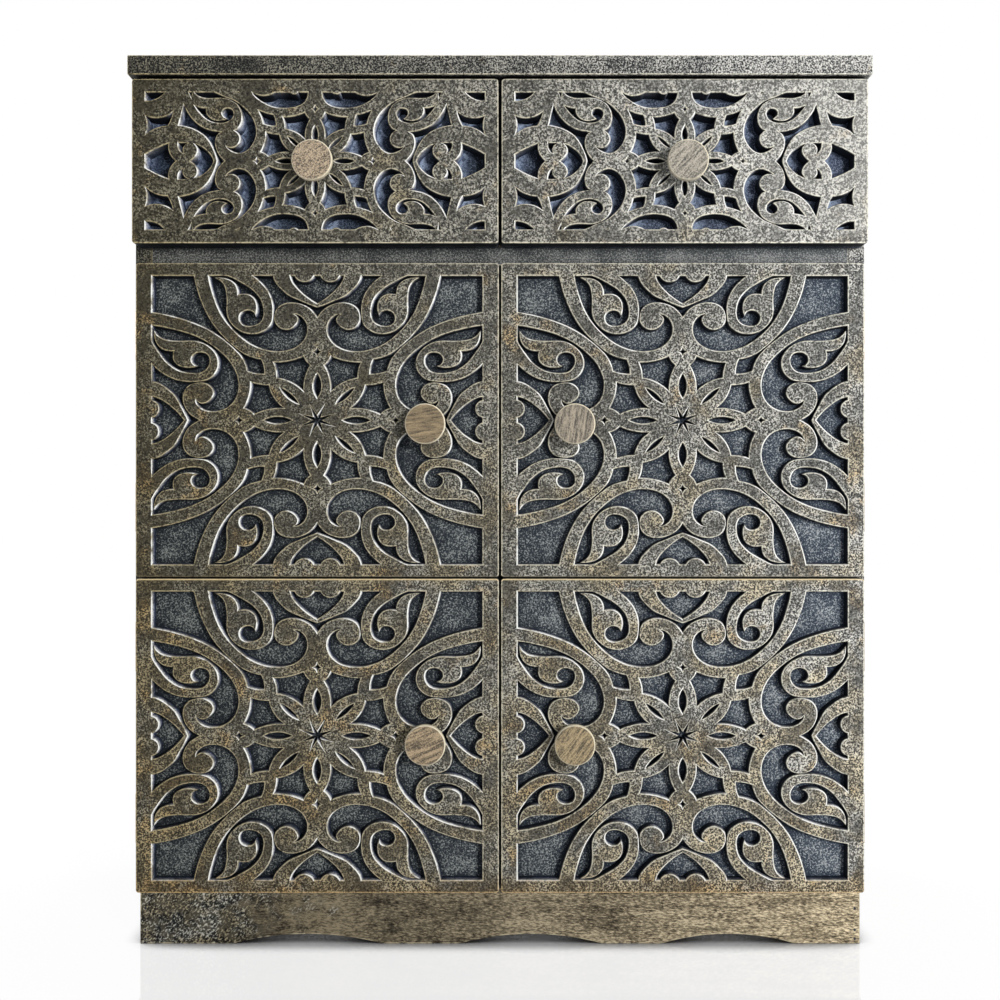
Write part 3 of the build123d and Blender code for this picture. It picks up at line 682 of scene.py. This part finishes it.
def outward(loop):
    """At each point, the direction away from the wood, as long as the mitre needs."""
    ahead = np.roll(loop, -1, axis=0) - loop
    ahead /= np.linalg.norm(ahead, axis=1, keepdims=True)
    behind = np.roll(ahead, 1, axis=0)
    ways = (ahead + behind)[:, ::-1] * (1, -1)
    ways /= np.maximum(np.linalg.norm(ways, axis=1, keepdims=True), 1e-9)
    square = ahead[:, ::-1] * (1, -1)
    lean = np.abs((ways * square).sum(axis=1))
    return ways * np.minimum(1 / np.maximum(lean, 0.2), MITRE_LIMIT)[:, None]


def lit_sides(loop):
    """For each side of an outline, how far its two ends face the light, 0 to 1, for the painted
    light on its wall.
    """
    ahead = np.roll(loop, -1, axis=0) - loop
    ahead /= np.linalg.norm(ahead, axis=1, keepdims=True)
    facing = ahead[:, ::-1] * (1, -1) @ np.array(LIGHT_FROM)
    facing = np.clip((facing - LIGHT_LEAST) / LIGHT_SPAN, 0, 1)
    before = np.roll(facing, 1)
    turn = np.einsum("ij,ij->i", ahead, np.roll(ahead, 1, axis=0))
    crisp = turn < cos(SHARP_TURN)
    starts = np.where(crisp, facing, (facing + before) / 2)
    ends = np.where(np.roll(crisp, -1), facing, (facing + np.roll(facing, -1)) / 2)
    return starts, ends


def room(points, directions, starts, ends):
    """How far each point can travel along its direction before it meets an outline."""
    sides = ends - starts
    reach = np.empty(len(points))
    for first in range(0, len(points), AT_ONCE):
        part = slice(first, first + AT_ONCE)
        gap = starts[None] - points[part, None]
        way = directions[part, None]
        cross = way[..., 0] * sides[None, :, 1] - way[..., 1] * sides[None, :, 0]
        cross[np.abs(cross) < 1e-12] = 1e-12
        travel = (gap[..., 0] * sides[None, :, 1] - gap[..., 1] * sides[None, :, 0]) / cross
        share = (gap[..., 0] * way[..., 1] - gap[..., 1] * way[..., 0]) / cross
        hit = (share >= 0) & (share <= 1) & (travel > OWN_SIDE)
        reach[part] = np.where(hit, travel, FARTHEST).min(axis=1)
    return reach


def relief(name, finish):
    """A closed mesh of one board, with rounded lips round its outline and every opening."""
    low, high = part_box(name)
    loops = front_loops(nodes[name])
    ways = [outward(loop) for loop in loops]
    points = np.concatenate(loops)
    starts, ends = points, np.concatenate([np.roll(loop, -1, axis=0) for loop in loops])
    directions = np.concatenate(ways)
    ahead_room = room(points, directions, starts, ends) * HOLE_SHARE
    behind_room = room(points, -directions, starts, ends) * NECK_SHARE
    vertices, gold, deep, faces, light_facing = [], [], [], [], []
    front_rings, back_rings = [], []
    position = 0
    for number, (loop, way) in enumerate(zip(loops, ways)):
        count = len(loop)
        part = slice(position, position + count)
        position += count
        lip, foot = (rim_lip, rim_foot) if number == 0 else (pocket_lip, pocket_foot)
        widest_in = max(step for step, *_ in lip + foot) * MM
        widest_out = -min(step for step, *_ in lip + foot) * MM
        squeeze_in = np.minimum(1.0, ahead_room[part] / max(widest_in, 1e-9))
        squeeze_out = np.minimum(1.0, behind_room[part] / widest_out)
        heights = [low.y + depth * MM for _, depth, _ in lip]
        heights += [high.y - depth * MM for _, depth, _ in foot]
        rings = []
        for (step, _, gilt), y in zip(lip + foot, heights):
            squeeze = squeeze_in if step > 0 else squeeze_out
            flat = loop + way * (squeeze * step * MM)[:, None]
            rings.append(range(len(vertices), len(vertices) + count))
            vertices += [(x, y, z) for x, z in flat]
            gold += [gilt] * count
            deep += [(y - low.y) / (high.y - low.y)] * count
        # Painted light: how far each wall faces the light, kept for the pale paint on it.
        light_share = RIM_LIGHT if number == 0 else 1
        from_start, to_end = (side * light_share for side in lit_sides(loop))
        for upper, lower in zip(rings, rings[1:]):
            for k in range(count):
                after = (k + 1) % count
                faces.append((lower[k], lower[after], upper[after], upper[k]))
                light_facing += [from_start[k], to_end[k], to_end[k], from_start[k]]
        front_rings.append(rings[0])
        back_rings.append(rings[-1])
    for rings, turned in ((front_rings, False), (back_rings, True)):
        used = [index for ring in rings for index in ring]
        flat = [Vector((vertices[index][0], vertices[index][2])) for index in used]
        outlines = []
        count = 0
        for ring in rings:
            outlines.append(list(range(count, count + len(ring))))
            count += len(ring)
        found, _, cells, sources, _, _ = delaunay_2d_cdt(flat, [], outlines, HOLES_OPEN, 1e-9)
        y = vertices[used[0]][1]
        index_of = []
        for place, source in zip(found, sources):
            if source:
                index_of.append(used[source[0]])
            else:
                index_of.append(len(vertices))
                vertices.append((place.x, y, place.y))
                gold.append(0.0)
                deep.append((y - low.y) / (high.y - low.y))
        for cell in cells:
            face = [index_of[corner] for corner in cell]
            faces.append(face[::-1] if turned else face)
            light_facing += [0.0] * len(face)
    mesh = bpy.data.meshes.new(f"{name}_relief")
    mesh.from_pydata(vertices, [], faces)
    measures = (("edge", "POINT", gold), ("deep", "POINT", deep), ("light_facing", "CORNER", light_facing))
    for title, domain, values in measures:
        attribute = mesh.attributes.new(title, "FLOAT", domain)
        attribute.data.foreach_set("value", np.array(values, np.float32))
    mesh.validate()
    mesh.shade_smooth()
    mesh.set_sharp_from_angle(angle=SHARP_TURN)
    mesh.materials.append(finish)
    piece = bpy.data.objects.new(f"{name}_relief", mesh)
    bpy.context.scene.collection.objects.link(piece)
    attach(piece, nodes[name]["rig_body"])
    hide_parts(name)


# ---------------------------------------------------------------- plain boards and hardware
BOARD_EDGE = 0.9 * MM
SMALL_EDGE = 0.25 * MM
SAME_POINT = 0.002 * MM        # vertices nearer than this are welded before rounding
ROUNDED_TURN = radians(40)     # an edge that turns less than this isn't rounded
PAINTED = ("carcass_paint", "plinth_paint", "recess_paint")
FINE = ("steel", "brass")


def soften(node, width):
    """Round the sharp edges of a node without touching its own mesh."""
    weld = node.modifiers.new("weld", "WELD")
    weld.merge_threshold = SAME_POINT
    bevel = node.modifiers.new("soft_edges", "BEVEL")
    bevel.width = width
    bevel.segments = 2
    bevel.limit_method = "ANGLE"
    bevel.angle_limit = ROUNDED_TURN
    bevel.material = len(node.data.materials) - 1


def finish_node(name, node):
    slot = slot_of[name]
    node.data.materials.clear()
    node.data.materials.append(finishes.get(name) or finishes[slot])
    if slot in PAINTED:
        node.data.materials.append(edge_finish)
    if slot in FINE:
        soften(node, SMALL_EDGE)
    elif not name.endswith("_knob"):
        soften(node, BOARD_EDGE)


# ---------------------------------------------------------------- stage
def lamp(name, place, size, power, colour, aim):
    light = bpy.data.lights.new(name, "AREA")
    light.shape = "RECTANGLE"
    light.size, light.size_y = size
    light.energy = power
    light.color = colour
    holder = bpy.data.objects.new(name, light)
    holder.location = place
    holder.rotation_euler = (Vector(aim) - Vector(place)).to_track_quat("-Z", "Y").to_euler()
    bpy.context.scene.collection.objects.link(holder)


def unlit_share(tree):
    """1 for the rays that should see a white background, else 0."""
    path = tree.nodes.new("ShaderNodeLightPath")
    total = None
    for ray in ("Is Camera Ray", "Is Glossy Ray", "Is Transmission Ray"):
        node = tree.nodes.new("ShaderNodeMath")
        node.operation = "ADD"
        node.use_clamp = True
        tree.links.new(path.outputs[ray], node.inputs[0])
        if total is None:
            node.inputs[1].default_value = 0.0
        else:
            tree.links.new(total, node.inputs[1])
        total = node.outputs[0]
    return total


def make_world():
    world = bpy.data.worlds.new("studio")
    bpy.context.scene.world = world
    world.use_nodes = True
    tree = world.node_tree
    background = tree.nodes["Background"]
    background.inputs["Color"].default_value = (1, 1, 1, 1)
    strength = tree.nodes.new("ShaderNodeMapRange")
    tree.links.new(unlit_share(tree), strength.inputs["Value"])
    strength.inputs["To Min"].default_value = WORLD_LIGHT
    strength.inputs["To Max"].default_value = 1.0
    tree.links.new(strength.outputs[0], background.inputs["Strength"])


def make_floor():
    """A white floor with the lamps' shadow of the cabinet, a painted contact shadow and painted
    shade under it, and a faint reflection.
    """
    mesh = bpy.data.meshes.new("floor")
    reach = FLOOR_REACH
    mesh.from_pydata(
        [(-reach, -reach, 0), (reach, -reach, 0), (reach, reach, 0), (-reach, reach, 0)],
        [],
        [(0, 1, 2, 3)],
    )
    floor = bpy.data.objects.new("floor", mesh)
    bpy.context.scene.collection.objects.link(floor)
    finish = Finish("floor", roughness=0.6, specular=0.0)
    greys = ((0.0, (0.86, 0.86, 0.86, 1)), (1.0, (0.9, 0.9, 0.9, 1)))
    finish.done(finish.ramp(finish.noise(400), *greys))
    glow = finish.add("ShaderNodeEmission")
    # Painted shadow: the glow darkens near the cabinet and under it, by how open the floor is.
    contact_shadow_factor = finish.band(finish.openness(CONTACT_REACH), 0.25, 0.9, 0.15, 1.0)
    underside_shade_factor = finish.band(finish.openness(UNDERSIDE_REACH), 0.2, 0.5, 0.0, 1.06)
    finish.join(finish.product(contact_shadow_factor, underside_shade_factor), glow.inputs["Strength"])
    mirror = finish.add("ShaderNodeBsdfGlossy")
    mirror.inputs["Roughness"].default_value = 0.05
    far = finish.band(finish.distance_from((0, 0, 0)), 0.45, 0.8)
    unlit = unlit_share(finish.tree)
    surface = finish.shader.outputs[0]
    shares = (
        (finish.product(unlit, finish.sum((far, FLOOR_SHADED), 1 - FLOOR_SHADED)), glow),
        (finish.product(unlit, FLOOR_MIRROR), mirror),
    )
    for share, layer in shares:
        blend = finish.add("ShaderNodeMixShader")
        finish.join(share, blend.inputs[0])
        finish.join(surface, blend.inputs[1])
        finish.join(layer.outputs[0], blend.inputs[2])
        surface = blend.outputs[0]
    output = next(node for node in finish.tree.nodes if node.type == "OUTPUT_MATERIAL")
    finish.join(surface, output.inputs["Surface"])
    mesh.materials.append(finish.material)


def make_camera():
    data = bpy.data.cameras.new("camera")
    data.lens = CAMERA_LENS
    camera = bpy.data.objects.new("camera", data)
    camera.location = CAMERA_PLACE
    camera.rotation_euler = (pi / 2, 0, 0)
    bpy.context.scene.collection.objects.link(camera)
    bpy.context.scene.camera = camera


# ---------------------------------------------------------------- build
make_camera()
make_world()
make_floor()
middle = (0.0, -0.1, 0.45)     # where the lamps aim
lamp("key", KEY_PLACE, KEY_SIZE, KEY_POWER, (1.0, 1.0, 0.99), middle)
lamp("fill", FILL_PLACE, FILL_SIZE, FILL_POWER, (0.9, 0.94, 1.0), middle)
for side, way in (("left", -1), ("right", 1)):
    place = (way * BACK_PLACE[0], *BACK_PLACE[1:])
    lamp(f"back_{side}", place, BACK_SIZE, BACK_POWER, (1.0, 1.0, 1.0), middle)
lamp("overhead", OVERHEAD_PLACE, OVERHEAD_SIZE, OVERHEAD_POWER, (1.0, 1.0, 1.0), middle)
bpy.context.scene.view_settings.view_transform = "Standard"

for name, node in nodes.items():
    if name.endswith("_carving") or name == "plinth_front":
        relief(name, finishes.get(name) or finishes[slot_of[name]])
    else:
        finish_node(name, node)
